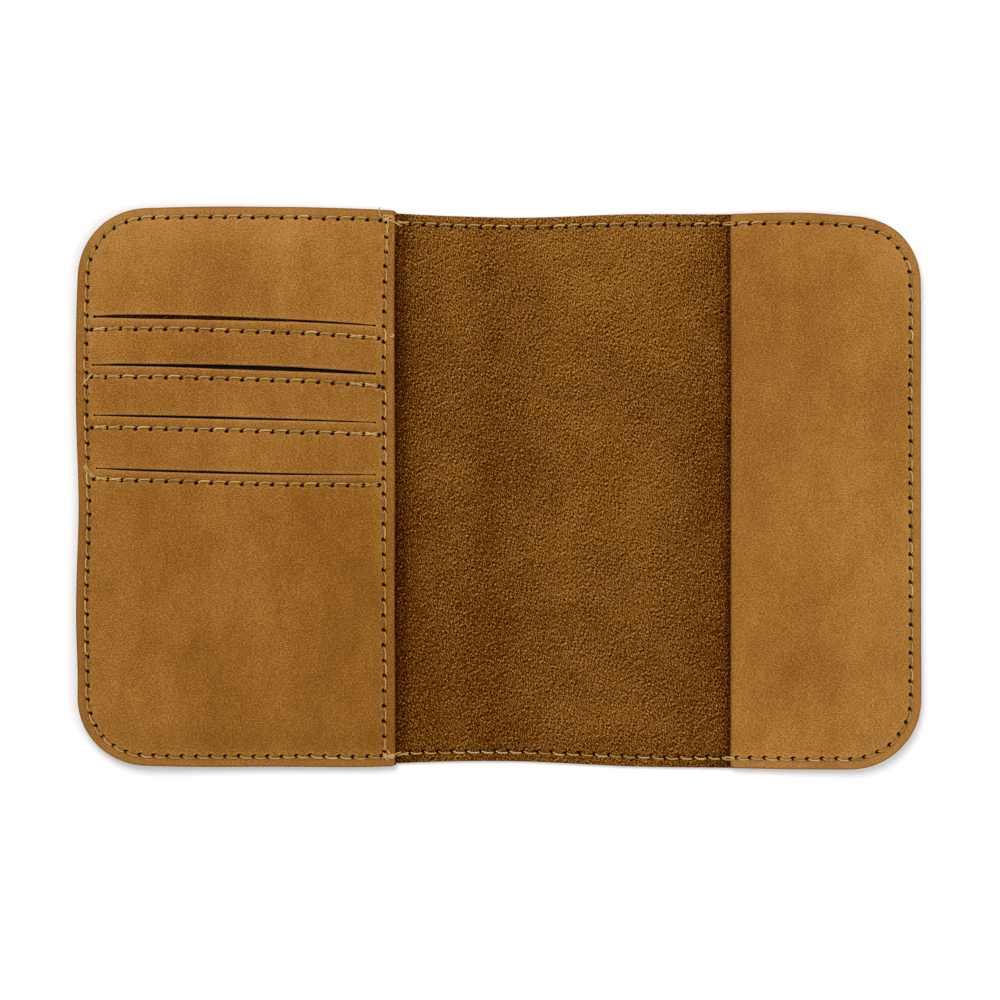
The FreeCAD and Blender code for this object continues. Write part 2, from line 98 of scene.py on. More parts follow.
# A slit: its ends, the share of its fall done by its middle, its widest opening and where along it that is
Slit = namedtuple("Slit", "left left_y right right_y fallen opening widest_at")
SLITS = [
    Slit(-125.6, 52.4, -37.8, 50.35, 0.22, 1.35, 0.3),
    Slit(-125.9, 37.5, -37.8, 35.45, 0.28, 1.5, 0.6),
    Slit(-125.6, 21.95, -37.8, 20.3, 0.5, 0.78, 0.4),
    Slit(-125.3, 5.5, -37.8, 3.95, 0.85, 0.72, 0.4),
]
SLOT_SEAM_DROP = (3.65, 3.5, 3.6, 3.05)  # from each slit to the seam under it
SLOT_SEAM_START, SLOT_SEAM_END = -126.0, -37.0
EDGE_SEAM = ((-34.3, 83.0), (-35.2, 45.0), (-35.2, -82.4))

# Where the top and bottom edges of the sewn cover lie: x, top y, bottom y
LIE = [
    (-131, 87.5, -86.6),
    (-60, 87.0, -86.6),
    (-36, 86.2, -86.3),
    (-20, 85.2, -86.0),
    (2, 84.5, -85.6),
    (42, 85.0, -86.7),
    (72, 84.8, -87.0),
    (88, 85.3, -87.4),
    (131, 85.3, -87.5),
]
# Corners that are rounder than they were cut: side, end, by how much
SOFT_CORNERS = ((-1, 1, 1.3), (-1, -1, 0.8), (1, 1, 0.3), (1, -1, 0.2))
# Edges that have been pushed about: x, y, reach, shift across, shift up
DENTS = ((-131, -6, 20, 1.0, 0), (-131, -58, 12, 0.5, 0), (112, 86, 11, 0, -1.0), (-40, -87, 16, 0, -0.3))


# -------- small maths


def smooth(t):
    t = np.clip(t, 0, 1)
    return t * t * (3 - 2 * t)


def bell(distance, width):
    return np.exp(-((distance / width) ** 2))


def wander(points, size, seed):
    """Smooth noise at each point, about -1 to 1, whose features are about size across."""
    place = points / size
    return np.array([noise.noise(Vector((x, y, seed))) for x, y in place[:, :2]])


def inset(x, y):
    """How far a point lies inside the rounded outline."""
    across = np.abs(x) - (HALF_W - CORNER)
    up = np.abs(y) - (HALF_H - CORNER)
    past = np.hypot(np.maximum(across, 0), np.maximum(up, 0)) + np.minimum(np.maximum(across, up), 0)
    return CORNER - past


def inside(points, loop):
    """Whether each point is inside a closed outline."""
    x, y = points[:, 0], points[:, 1]
    found = np.zeros(len(points), bool)
    for (ax, ay), (bx, by) in zip(loop, np.roll(loop, -1, axis=0)):
        if ay != by:
            found ^= ((ay > y) != (by > y)) & (x < (bx - ax) * (y - ay) / (by - ay) + ax)
    return found


def distance_to(points, loop):
    """Distance from each point to the nearest point of a closed outline's edges."""
    best = np.full(len(points), 1e9)
    for a, b in zip(loop, np.roll(loop, -1, axis=0)):
        along = b - a
        t = np.clip((points - a) @ along / max(along @ along, 1e-12), 0, 1)
        best = np.minimum(best, np.hypot(*(points - a - t[:, None] * along).T))
    return best


def evenly(points, step, closed=True):
    """The polyline's points, spaced evenly about step apart."""
    points = np.asarray(points, float)
    if closed:
        points = np.vstack([points, points[:1]])
    run = np.concatenate([[0], np.cumsum(np.hypot(*np.diff(points, axis=0).T))])
    count = max(2, round(run[-1] / step))
    at = np.linspace(0, run[-1], count + 1)
    if closed:
        at = at[:-1]
    return np.column_stack([np.interp(at, run, points[:, 0]), np.interp(at, run, points[:, 1])])


def sideways(loop):
    """A unit vector at each point of a closed outline, at right angles to it."""
    along = np.roll(loop, -1, axis=0) - np.roll(loop, 1, axis=0)
    along /= np.hypot(*along.T)[:, None]
    return np.column_stack([-along[:, 1], along[:, 0]])


# -------- how the cover lies


def softened(column):
    """A LIE column as a function of x, with its kinks rounded off."""
    x = np.arange(-150, 150.5, 0.5)
    y = np.interp(x, [row[0] for row in LIE], [row[column] for row in LIE])
    kernel = bell(np.arange(-24, 24.5, 0.5), 7)
    rounded = np.convolve(np.pad(y, 48, "edge"), kernel / kernel.sum(), "valid")
    return lambda at: np.interp(at, x, rounded)


lie_top, lie_low = softened(1), softened(2)


def lift(x, y):
    """How far the settled cover stands off the table: its outer parts curl up a little."""
    far = smooth((np.abs(x) - 40) / 91)
    corner = smooth((np.abs(y) - 25) / 62)
    curl = far**2 * (0.5 + 1.1 * corner)
    wave = far * (0.22 + 0.22 * np.sin(y / 19 + np.sign(x)) * np.cos(x / 31))
    return curl + wave


def pushed(x, y):
    """Sideways shifts of the leather at its soft corners and dented edges."""
    right, up = np.zeros_like(x), np.zeros_like(y)
    middle_x, middle_y = HALF_W - CORNER, HALF_H - CORNER
    for side, end, much in SOFT_CORNERS:
        past_x = (np.clip(side * x - middle_x, 0, None) / CORNER) ** 1.6
        past_y = (np.clip(end * y - middle_y, 0, None) / CORNER) ** 1.6
        tip_x, tip_y = side * (middle_x + 0.7 * CORNER), end * (middle_y + 0.7 * CORNER)
        near = bell(np.hypot(x - tip_x, y - tip_y), 25)
        right -= side * much * past_x * near
        up -= end * much * past_y * near
    for dent_x, dent_y, reach, across, upward in DENTS:
        near = bell(np.hypot(x - dent_x, y - dent_y), reach)
        right += across * near
        up += upward * near
    return right, up


def settle(points):
    """Lays planned points, millimetres, down as the cover lies."""
    x, y, z = np.asarray(points, float).T
    top, low = lie_top(x), lie_low(x)
    plan = np.column_stack([x, y])
    right, up = pushed(x, y)
    right += 0.3 * wander(plan, 45, 3.0)
    up += 0.22 * wander(plan, 38, 8.0)
    return np.column_stack([x + right, (top + low) / 2 + y / HALF_H * (top - low) / 2 + up, z + lift(x, y)])


# -------- surfaces of the layers


def rise(x, y):
    """0 on the sewn rim, 1 where the leather has risen to make room for a notebook's board."""
    return smooth((inset(x, y) - RISE_START) / RISE_RUN)


def slit_line(slit, x):
    """Height up the page of a slit at x."""
    t = (x - slit.left) / (slit.right - slit.left)
    fall = t + 4 * (slit.fallen - 0.5) * t * (1 - t)
    return slit.left_y + (slit.right_y - slit.left_y) * fall


def lips(x, y):
    """The leather below a slit stands proud of the leather above it."""
    total = np.zeros_like(x)
    for slit in SLITS:
        middle = smooth((x - slit.left) / 12) * smooth((slit.right - x) / 12)
        below = slit_line(slit, x) - y
        total += middle * np.where(below > 0, 0.4 * np.exp(-below / 2.4), -0.3 * np.exp(below / 3.0))
    return total


def swell(x, y, size, seed, height):
    """Gentle unevenness in leather that isn't stretched flat."""
    return height * wander(np.column_stack([x, y]), size, seed)


def panel_swell(x, y):
    """What the card panel, its linings and its backing share."""
    return swell(x, y, 26, 1.5, 0.28) * rise(x, y)


def raised(sewn, free, x, y):
    """A height that is sewn on the sewn rim, and free where the leather has risen."""
    return sewn + (free - sewn) * rise(x, y)


def panel_level(x, y):
    """The card panel's top, apart from its swell and the slits' lips."""
    return raised(COVER + BACKING + LEATHER, PANEL_TOP, x, y)


def panel_top(x, y):
    return panel_level(x, y) + lips(x, y) + panel_swell(x, y)


def backing_top(x, y):
    return raised(COVER + BACKING, BACKING_TOP, x, y) - BACKING_SAG * rise(x, y) + panel_swell(x, y)


def lining_top(x, y, start, behind):
    """A lining's face: against the panel at its upper end, y = start, then behind the lower linings."""
    fall = LINING_STEP * behind * smooth((start - 6 - y) / 5)
    return panel_level(x, y) - LEATHER - LINING_CLEAR - fall + panel_swell(x, y)


def flap_top(x, y):
    soft = swell(x, y, 30, 5.5, 0.25) * rise(x, y)
    return raised(COVER + LEATHER, FLAP_TOP, x, y) + soft


def cover_top(x, y):
    return COVER + swell(x, y, 17, 9.5, 0.16) * smooth((inset(x, y) - 4) / 6)


def inner_surface(x, y):
    """Top of whichever layer is uppermost at each point."""
    on_flap = np.where(x > FLAP_EDGE, flap_top(x, y), cover_top(x, y))
    return np.where(x < PANEL_EDGE, panel_top(x, y), on_flap)


def outer_surface(x, y):
    """The outside face of the cover."""
    return np.zeros_like(x)


def under(surface, depth):
    """The surface that lies this far below another."""
    return lambda x, y: surface(x, y) - depth


# -------- outlines


def outline(side, inner, corner=0.9):
    """A sheet's outline: two large corners at the outer edge, two small ones at x = inner."""
    far, high = HALF_W - CORNER, HALF_H - CORNER
    turn = np.linspace(0, math.pi / 2, 24)
    big = np.column_stack([far + CORNER * np.sin(turn), high + CORNER * np.cos(turn)])
    near = np.array([[abs(inner), HALF_H]])
    if corner:
        small = np.linspace(math.pi / 2, 0, 5)
        across, up = abs(inner) + corner * (1 - np.sin(small)), HALF_H - corner * (1 - np.cos(small))
        near = np.column_stack([across, up])
    upper = np.vstack([near, big])
    lower = upper[::-1] * [1, -1]
    return evenly(np.vstack([upper, lower]) * [side, 1], 1.1)


def tuck(x):
    """How far the cover's edge stands behind the panel's and the flap's."""
    return TUCK * smooth((x - PANEL_EDGE + 1.5) / 2) * (1 - smooth((x - 4) / 40))


def tucked(loop):
    """A cover outline with its top and bottom edges drawn in beside the spine."""
    edge = np.abs(loop[:, 1]) > HALF_H - 1
    return loop - np.column_stack([0 * edge, edge * np.sign(loop[:, 1]) * tuck(loop[:, 0])])


def cut_line(slit):
    """The closed outline of a slit: a thin leaf with a small punched notch at each end."""
    t = np.concatenate([[0, 0.004, 0.0075, 0.011], np.linspace(0.02, 0.98, 58), [0.989, 0.9925, 0.996, 1]])
    x = slit.left + (slit.right - slit.left) * t
    end = np.minimum(t, 1 - t)
    half = slit.opening / 2 * (0.4 + 0.6 * bell(t - slit.widest_at, 0.36)) * (0.5 + 0.5 * smooth(end / 0.1))
    half += 0.22 * bell(end - 0.004, 0.0035)
    half *= 1 + 0.14 * wander(np.column_stack([x, half]), 4, slit.left_y)
    middle = slit_line(slit, x)
    upper = np.column_stack([x, middle + half])
    lower = np.column_stack([x, middle - half])[::-1]
    return np.vstack([upper, lower])


# -------- seams


def left_of(way):
    """The unit vector to the left of a direction."""
    return np.array([-way[1], way[0]]) / np.hypot(*way)


class Seam:
    """A row of holes, and the seam's direction at each. The threads lie on the left of the way it runs."""

    def __init__(self, route, pitch, seed, closed=False):
        rng = random.Random(seed)
        self.holes = evenly(route, pitch, closed)
        self.holes += [[rng.gauss(0, 0.07), rng.gauss(0, 0.07)] for _ in self.holes]
        ahead, behind = np.roll(self.holes, -1, axis=0), np.roll(self.holes, 1, axis=0)
        if not closed:
            ahead[-1], behind[0] = self.holes[-1], self.holes[0]
        self.along = (ahead - behind) / np.hypot(*(ahead - behind).T)[:, None]
        self.left = np.column_stack([-self.along[:, 1], self.along[:, 0]])
        self.pits = self.holes - PIT_ASIDE * self.left
        self.pairs = [(i, i + 1) for i in range(len(self.holes) - 1)]
        if closed:
            self.pairs.append((len(self.holes) - 1, 0))

    def where(self, test):
        """Hole numbers that pass a test of x, y."""
        return [i for i, (x, y) in enumerate(self.holes) if test(x, y)]


def perimeter_route():
    far, high = HALF_W - CORNER, HALF_H - CORNER
    radius = CORNER - SEAM_INSET
    points = []
    for start, sx, sy in ((0, 1, 1), (1, 1, -1), (2, -1, -1), (3, -1, 1)):
        for turn in np.linspace(0, math.pi / 2, 20) + start * math.pi / 2:
            points.append([sx * far + radius * math.sin(turn), sy * high + radius * math.cos(turn)])
    route = evenly(points, 1.0)
    level = np.abs(route[:, 1]) > high + radius - 1
    route[:, 1] -= level * np.sign(route[:, 1]) * 0.8 * tuck(route[:, 0])
    return route


# An awl hole: half sizes along and across, its turn from the seam, and how far it sits beside the thread
PIT_LONG, PIT_WIDE, PIT_SLANT, PIT_ASIDE = 0.86, 0.58, math.radians(22), 0.3
PIT_RINGS = ((0.42, 6), (0.8, 8), (1.0, 10), (1.35, 10), (2.0, 12))  # ring size in hole sizes, points on it

perimeter = Seam(perimeter_route(), PITCH, 11, closed=True)
panel_edge_seam = Seam(evenly(EDGE_SEAM, 2.0, closed=False), INNER_PITCH, 12)
slot_seams = []
for number, (slit, drop) in enumerate(zip(SLITS, SLOT_SEAM_DROP)):
    xs = np.linspace(SLOT_SEAM_START, SLOT_SEAM_END, 24)
    slot_seams.append(Seam(np.column_stack([xs, slit_line(slit, xs) - drop]), INNER_PITCH, 20 + number))


def pit_frame(along):
    """The hole's long and short directions."""
    c, s = math.cos(PIT_SLANT), math.sin(PIT_SLANT)
    long = np.array([along[0] * c - along[1] * s, along[0] * s + along[1] * c])
    return long, np.array([-long[1], long[0]])


def pit_points(seam, numbers):
    """Mesh points in and round each hole."""
    made = []
    for i in numbers:
        long, wide = pit_frame(seam.along[i])
        made.append(seam.pits[i])
        for size, count in PIT_RINGS:
            for k in range(count):
                angle = 2 * math.pi * (k + 0.5 * (count % 4 == 2)) / count
                offset = long * PIT_LONG * math.cos(angle) + wide * PIT_WIDE * math.sin(angle)
                made.append(seam.pits[i] + size * offset)
    return made


def bed_points(seam, pairs):
    """Mesh points beside each stitch, for the groove that it presses."""
    made = []
    for i, j in pairs:
        a, b = seam.holes[i], seam.holes[j]
        side = left_of(b - a)
        for share in (0.34, 0.5, 0.66):
            for offset in (0.2, 0.55, -0.15, 1.0, -0.65):
                made.append(a + share * (b - a) + offset * side)
    return made


class Marks:
    """What seams do to leather: how far they lower each point, and how dark or pale it is painted there:
    dark is painted shade in the holes and beside the threads, pale is a painted highlight on the holes'
    lips.
    """

    def __init__(self, points):
        self.points = points
        self.lower, self.dark, self.pale = (np.zeros(len(points)) for _ in range(3))

    def groove(self, a, b, deep):
        """The bed that one stitch presses, with painted shade along it beside the thread."""
        side = left_of(b - a)
        a, b = a + 0.2 * side, b + 0.2 * side
        near = np.flatnonzero(np.hypot(*(self.points - (a + b) / 2).T) < 5)
        t = np.clip((self.points[near] - a) @ (b - a) / ((b - a) @ (b - a)), 0, 1)
        off = np.hypot(*(self.points[near] - a - t[:, None] * (b - a)).T)
        self.lower[near] = np.maximum(self.lower[near], deep * bell(off, 0.62))
        # painted shade: the groove beside the thread is darkened as if in shadow
        self.dark[near] = np.maximum(self.dark[near], 0.42 * bell(off, 0.5))

    def pit(self, centre, along, left, deep):
        """One hole, painted dark inside as shade, with a raised lip on its inner side that is painted pale
        as a highlight.
        """
        long, wide = pit_frame(along)
        near = np.flatnonzero(np.hypot(*(self.points - centre).T) < 3)
        away = self.points[near] - centre
        size = np.hypot(away @ long / PIT_LONG, away @ wide / PIT_WIDE)
        inner = np.clip(-(away @ left) / 0.5 + 0.3, 0, 1)
        lip = bell(size - 1.5, 0.35) * inner
        lowered = deep * (1 - smooth((size - 0.35) / 0.75)) + 0.08 * bell(size, 2.0) - 0.1 * lip
        self.lower[near] = np.where(size < 2, np.maximum(self.lower[near], lowered), self.lower[near])
        # painted shade: the inside of the hole is darkened as if in shadow
        self.dark[near] = np.maximum(self.dark[near], 1 - smooth((size - 0.85) / 0.4))
        # painted highlight on the hole's raised lip
        self.pale[near] = np.maximum(self.pale[near], lip)

    def sew(self, seam, numbers, groove, pit):
        chosen = set(numbers)
        for i, j in seam.pairs:
            if i in chosen and j in chosen:
                self.groove(seam.holes[i], seam.holes[j], groove)
        for i in numbers:
            self.pit(seam.pits[i], seam.along[i], seam.left[i], pit)


# -------- leather sheets


def well_apart(groups):
    """The points of all groups, each (points, gap), without those within gap of an earlier group's."""
    kept = [np.asarray(groups[0][0], float)]
    for points, gap in groups[1:]:
        earlier = np.vstack(kept)
        tree = KDTree(len(earlier))
        for i, (x, y) in enumerate(earlier):
            tree.insert((x, y, 0), i)
        tree.balance()
        points = np.asarray(points, float).reshape(-1, 2)
        clear = [tree.find((x, y, 0))[2] > gap for x, y in points]
        kept.append(points[np.array(clear, bool)])
    return np.vstack(kept)


def grid(loop, step):
    """Points in staggered rows over an outline's box."""
    low, high = loop.min(0), loop.max(0)
    rows = np.arange(low[1], high[1], step * 0.87)
    made = []
    for i, y in enumerate(rows):
        x = np.arange(low[0] + (i % 2) * step / 2, high[0], step)
        made.append(np.column_stack([x, np.full(len(x), y)]))
    return np.vstack(made)


def in_sheet(points, loops):
    """Whether each point is inside a sheet's outline and outside its slits."""
    found = inside(points, loops[0])
    for loop in loops[1:]:
        found &= ~inside(points, loop)
    return found


def loop_edges(loops):
    """The outlines' edges, as pairs of point numbers."""
    edges, start = [], 0
    for loop in loops:
        edges += [(start + i, start + (i + 1) % len(loop)) for i in range(len(loop))]
        start += len(loop)
    return edges


def triangles(points, loops):
    """Triangles over the points that fill the first outline and leave the others open."""
    made = delaunay_2d_cdt([Vector(p) for p in points], loop_edges(loops), [], 0, 1e-6)
    assert len(made[0]) == len(points), "an outline crosses itself"
    faces = np.array(made[2])
    return faces[in_sheet(points[faces].mean(axis=1), loops)]


def edge_rings(loops):
    """Rows of points in the sheet beside each cut edge, so that the edge can be rounded."""
    rings = []
    for number, loop in enumerate(loops):
        normal = sideways(loop)
        inward = 1 if inside((loop + 0.05 * normal)[:1], loops[0])[0] else -1
        if number:
            inward = -1 if inside((loop + 0.05 * normal)[len(loop) // 4 :][:1], loop)[0] else 1
        rings += [loop + inward * depth * normal for depth in EDGE_RINGS]
    return np.vstack(rings)


def seam_points(seams):
    """Mesh points for the holes and for the grooves of seams, each (seam, hole numbers)."""
    marked = {}
    for seam, numbers in seams:
        marked.setdefault(id(seam), (seam, set()))[1].update(numbers)
    pits, beds = [], []
    for seam, numbers in marked.values():
        pits += pit_points(seam, sorted(numbers))
        beds += bed_points(seam, [p for p in seam.pairs if p[0] in numbers and p[1] in numbers])
    return pits, beds


def sheet_points(loops, seams, step):
    """A sheet's mesh points, its outlines' own first, and how far each lies from a cut edge."""
    edge = np.vstack(loops)
    pits, beds = seam_points(seams)
    groups = [(edge, 0), (edge_rings(loops), 0.1)]
    if pits:
        groups += [(pits, 0.11), (beds, 0.3)]
    groups.append((grid(loops[0], step), step * 0.62))
    points = well_apart(groups)
    off_edge = np.min([distance_to(points, loop) for loop in loops], axis=0)
    within = in_sheet(points, loops) & (off_edge > 0.08)
    within[: len(edge)] = True
    points, off_edge = points[within], off_edge[within]
    off_edge[: len(edge)] = 0
    return points, off_edge


def leather(name, loops, top, low, seams, step=1.5, outside_seams=(), plain_at=None):
    """A leather sheet with rounded cut edges, slits and stitch holes.

    loops are its outline and then its slits; top and low give its faces' heights; seams are (seam, hole
    numbers) sewn through its upper face, outside_seams those that show on its lower face. plain_at is an x
    where the sheet goes on in another piece, so that its edge isn't rounded there."""
    points, off_edge = sheet_points(loops, (*seams, *outside_seams), step)
    if plain_at is not None:
        cut = loops[0][np.abs(loops[0][:, 0] - plain_at) > 0.6]
        rounded = np.hypot(*(points[:, None] - cut[None]).transpose(2, 0, 1)).min(axis=1)
        off_edge = np.where(np.abs(points[:, 0] - plain_at) < 1.0, rounded, off_edge)
    x, y = points.T
    inner, outer = Marks(points), Marks(points)
    for seam, numbers in seams:
        inner.sew(seam, numbers, *INSIDE_MARKS)
    for seam, numbers in outside_seams:
        outer.sew(seam, numbers, *OUTSIDE_MARKS)
    short = np.clip(EDGE_ROUND - off_edge, 0, EDGE_ROUND)
    shoulder = EDGE_ROUND - np.sqrt(EDGE_ROUND**2 - short**2)
    upper = np.column_stack([x, y, top(x, y) - shoulder - inner.lower])
    lower = np.column_stack([x, y, low(x, y) + shoulder + outer.lower])
    faces, count = triangles(points, loops), len(points)
    walls = [(a, b, b + count, a + count) for a, b in loop_edges(loops)]
    groups = [faces.tolist(), (faces[:, ::-1] + count).tolist(), walls]

    mesh = bpy.data.meshes.new(name)
    mesh.from_pydata((settle(np.vstack([upper, lower])) * MM).tolist(), [], sum(groups, []))
    kinds = [kind for kind, group in enumerate(groups) for _ in group]
    mesh.polygons.foreach_set("material_index", kinds)
    mesh.polygons.foreach_set("use_smooth", [True] * len(kinds))
    put(mesh, "plan", np.vstack([np.column_stack([x, y, 0 * x]), np.column_stack([x, y, 0 * x - 40])]))
    slit_edge = np.full(count, 9.0)
    for loop in loops[1:]:
        slit_edge = np.minimum(slit_edge, distance_to(points, loop))
    # painted highlight: pale along the slits' lips and on the holes' raised lips
    put(mesh, "painted_lip_highlight", np.concatenate([np.maximum(bell(slit_edge, 0.6), inner.pale), outer.pale]))
    put(mesh, "edge", np.tile(np.where(slit_edge < 1.2, 0, bell(off_edge, 0.45)), 2))
    # painted shade: dark inside the stitch holes and in the grooves beside the threads
    put(mesh, "hole", np.concatenate([inner.dark, outer.dark]))
    put(mesh, "rim", np.tile(1 - smooth((inset(x, y) - 1.2) / 2.4), 2))
    fix_normals(mesh, plain_at)
    return placed(name, mesh)


def placed(name, data):
    """A new object in the scene."""
    made = bpy.data.objects.new(name, data)
    bpy.context.scene.collection.objects.link(made)
    return made


def put(mesh, name, values):
    """Stores one number or vector per point, for the materials."""
    vector = values.ndim == 2
    attribute = mesh.attributes.new(name, "FLOAT_VECTOR" if vector else "FLOAT", "POINT")
    attribute.data.foreach_set("vector" if vector else "value", values.astype(np.float32).ravel())


def fix_normals(mesh, plain_at):
    """Turns every face outwards, and keeps the edge where a sheet goes on in another piece sharp."""
    work = bmesh.new()
    work.from_mesh(mesh)
    bmesh.ops.recalc_face_normals(work, faces=work.faces)
    if plain_at is not None:
        for edge in work.edges:
            at_cut = all(abs(point.co.x / MM - plain_at) < 0.5 for point in edge.verts)
            if at_cut and any(face.material_index == 2 for face in edge.link_faces):
                edge.smooth = False
    work.to_mesh(mesh)
    work.free()


# -------- threads

THREAD = 0.25  # radius
PLIES, TWIST = 3, 1.7  # plies, and the length over which they make a turn


def across_route(route):
    """Unit vectors at right angles to a route at each of its points: level, and up from it."""
    along = np.gradient(route, axis=0)
    along /= np.linalg.norm(along, axis=1)[:, None]
    side = np.cross(along, [0, 0, 1])
    side[np.linalg.norm(side, axis=1) < 1e-3] = [1, 0, 0]
    side /= np.linalg.norm(side, axis=1)[:, None]
    return side, np.cross(side, along)


class Thread:
    """Tubes of twisted thread, gathered into one mesh."""

    def __init__(self):
        self.points, self.faces, self.shade = [], [], []

    def tube(self, route, radius=THREAD, around=12, tone=0.0, phase=0.0):
        """Twisted thread along a route of 3-D points, narrowing at its two ends."""
        route = np.asarray(route, float)
        side, up = across_route(route)
        run = np.concatenate([[0], np.cumsum(np.linalg.norm(np.diff(route, axis=0), axis=1))])
        angle = np.linspace(0, 2 * math.pi, around, endpoint=False)
        turn = 2 * math.pi * run / TWIST + phase
        lobe = np.abs(np.cos(PLIES / 2 * (angle[None] - turn[:, None])))
        size = radius * (0.8 + 0.26 * lobe)
        size[[0, -1]] *= 0.55
        outward = np.cos(angle)[:, None] * side[:, None] + np.sin(angle)[:, None] * up[:, None]
        first = sum(len(points) for points in self.points)
        last = first + (len(route) - 1) * around
        self.points.append((route[:, None] + size[..., None] * outward).reshape(-1, 3))
        # per point: the ply's lobe, a painted highlight on its crest and painted shade between plies, plus
        # the stitch's own tone
        self.shade.append(np.clip(lobe + tone, 0, 1.4).ravel())
        for a in range(first, last, around):
            b = a + around
            for k in range(around):
                n = (k + 1) % around
                self.faces.append((a + k, a + n, b + n, b + k))
        self.faces.append(tuple(range(first + around - 1, first - 1, -1)))
        self.faces.append(tuple(range(last, last + around)))

    def piece(self, name):
        plan = np.vstack(self.points)
        mesh = bpy.data.meshes.new(name)
        mesh.from_pydata((settle(plan) * MM).tolist(), [], self.faces)
        mesh.polygons.foreach_set("use_smooth", [True] * len(self.faces))
        put(mesh, "plan", plan)
        put(mesh, "ply", np.concatenate(self.shade))
        return placed(name, mesh)


def taut(run, height):
    """The line of a thread pulled tight over a profile: its upper hull."""
    hull = []
    for point in zip(run, height):
        while len(hull) > 1:
            (ax, ay), (bx, by) = hull[-2:]
            if (by - ay) * (point[0] - ax) <= (point[1] - ay) * (bx - ax):
                hull.pop()
            else:
                break
        hull.append(point)
    return np.interp(run, *zip(*hull))


def stitch(thread, a, b, surface, rng, up=1, turned=False, lie=None, over=0.0):
    """One stitch from hole a to hole b; up is 1 on the inside face and -1 on the outside one.

    It comes up on the inner side of its hole and runs along the outer side of the next one; a turned
    stitch does so the other way about. lie gives another sideways path, and over lifts the stitch over
    one already there."""
    t = np.linspace(0.08, 0.94, 15)
    side = left_of(b - a)
    way = 1 - t if turned else t
    crossing = 0.62 + rng.gauss(0, 0.05)
    offset = -0.3 + crossing * smooth((way - 0.03) / 0.34) - 0.16 * smooth((way - 0.7) / 0.3)
    if lie:
        offset = lie(t)
    place = a + t[:, None] * (b - a) + offset[:, None] * side
    base = surface(*place.T)
    ends = smooth((t - 0.06) / 0.15) * smooth((0.96 - t) / 0.15)
    if up > 0:
        height = taut(t, base) - 0.6 + (0.66 + over) * ends
    else:
        height = base + 0.75 - 0.41 * ends
    thread.tube(np.column_stack([place, height]), tone=rng.gauss(0, 0.08), phase=rng.uniform(0, 6))


def braided(t):
    """Sideways path of a stitch that crosses over its double."""
    return 0.02 + 0.34 * np.cos(math.pi * t)


def looped(t):
    """Sideways path of a stitch that lies apart from its double."""
    return 0.02 + 0.4 * np.sin(math.pi * t)


def sew(thread, seam, pairs, surface, seed, up=1, doubled=(), lie=braided):
    """Stitches between the given pairs of holes; those listed in doubled have a second strand."""
    rng = random.Random(seed)
    for i, j in pairs:
        a, b = seam.holes[i], seam.holes[j]
        if (i, j) in doubled:
            stitch(thread, a, b, surface, rng, up, lie=lie)
            stitch(thread, a, b, surface, rng, up, lie=lambda t: 0.04 - lie(t), over=0.3)
        else:
            turned = seam is perimeter and a[1] < -HALF_H + 8
            stitch(thread, a, b, surface, rng, up, turned)


# Loose strands, as points x, y and height above the leather. Where the panel's inner edge meets the
# perimeter seam, at the top and then at the bottom:
TANGLES = [
    [(-37.0, 87.6, 0.2), (-36.9, 86.5, 0.4), (-36.8, 85.2, 0.35), (-36.6, 84.5, 0.0)],
    [(-36.2, 84.5, 0.0), (-34.9, 85.2, 0.5), (-33.5, 84.8, 0.6), (-32.3, 83.9, 0.4)],
    [(-35.5, 83.7, 0.2), (-34.2, 84.4, 0.7), (-33.1, 85.1, 0.6), (-32.3, 84.4, 0.2)],
    [(-35.0, 85.0, 0.2), (-34.0, 83.8, 0.7), (-32.8, 83.5, 0.6), (-31.2, 82.7, 0.2), (-30.0, 82.1, 0.1)],
    [(-34.1, 84.6, 0.6), (-34.2, 83.2, 0.5), (-34.0, 81.8, 0.1)],
    [(-35.7, -82.6, 0.1), (-35.1, -83.8, 0.4), (-34.3, -85.1, 0.1)],
    [(-35.2, -82.8, 0.3), (-33.8, -84.0, 0.6), (-32.7, -84.3, 0.5), (-32.2, -83.4, 0.3)],
    [(-34.4, -81.6, 0.2), (-34.0, -82.6, 0.5), (-33.5, -83.7, 0.6), (-34.3, -84.5, 0.3)],
    [(-33.2, -83.9, 0.4), (-32.0, -83.2, 0.5), (-30.2, -82.7, 0.2)],
]
# on the panel's inner edge:
EDGE_TAIL = [(-33.4, 47.3, 0.1), (-32.6, 46.9, 0.5), (-32.2, 47.5, 0.3), (-32.9, 47.8, 0.2)]
# and where slot seams end beside the perimeter seam, by slot:
TAILS = {
    1: [[(-125.6, 35.0, 0.2), (-127.2, 33.2, 0.45), (-128.9, 31.3, 0.1)]],
    3: [
        [(-125.7, 2.6, 0.1), (-127.3, 4.6, 0.4), (-128.8, 6.6, 0.1)],
        [(-126.4, 2.9, 0.1), (-128.0, 4.3, 0.4), (-129.1, 6.2, 0.1)],
    ],
}


def loose_end(thread, points, seed):
    """A short free end of thread through a few points: x, y and height above the leather."""
    points = np.array(points, float)
    rng = random.Random(seed)
    t = np.linspace(0, len(points) - 1, 14)
    route = []
    for value in t:
        i = min(int(value), len(points) - 2)
        f = value - i
        before, a, b, after = (points[min(max(i + k, 0), len(points) - 1)] for k in (-1, 0, 1, 2))
        square = 2 * before - 5 * a + 4 * b - after
        cube = 3 * (a - b) + after - before
        route.append(a + 0.5 * f * (b - before + f * (square + f * cube)))
    route = np.array(route)
    route[:, 2] += taut(t, inner_surface(route[:, 0], route[:, 1]))
    thread.tube(route, radius=0.22, tone=0.1, phase=rng.uniform(0, 6))


# -------- materials


LIGHT = 1.12  # how brightly the leather is lit, where 1 shows it in its own colours


def tone(red, green, blue):
    """The base colour that looks like an 8-bit sRGB colour in this light."""
    values = [c / 255 for c in (red, green, blue)]
    linear = [c / 12.92 if c <= 0.04045 else ((c + 0.055) / 1.055) ** 2.4 for c in values]
    return [c / LIGHT for c in linear] + [1.0]


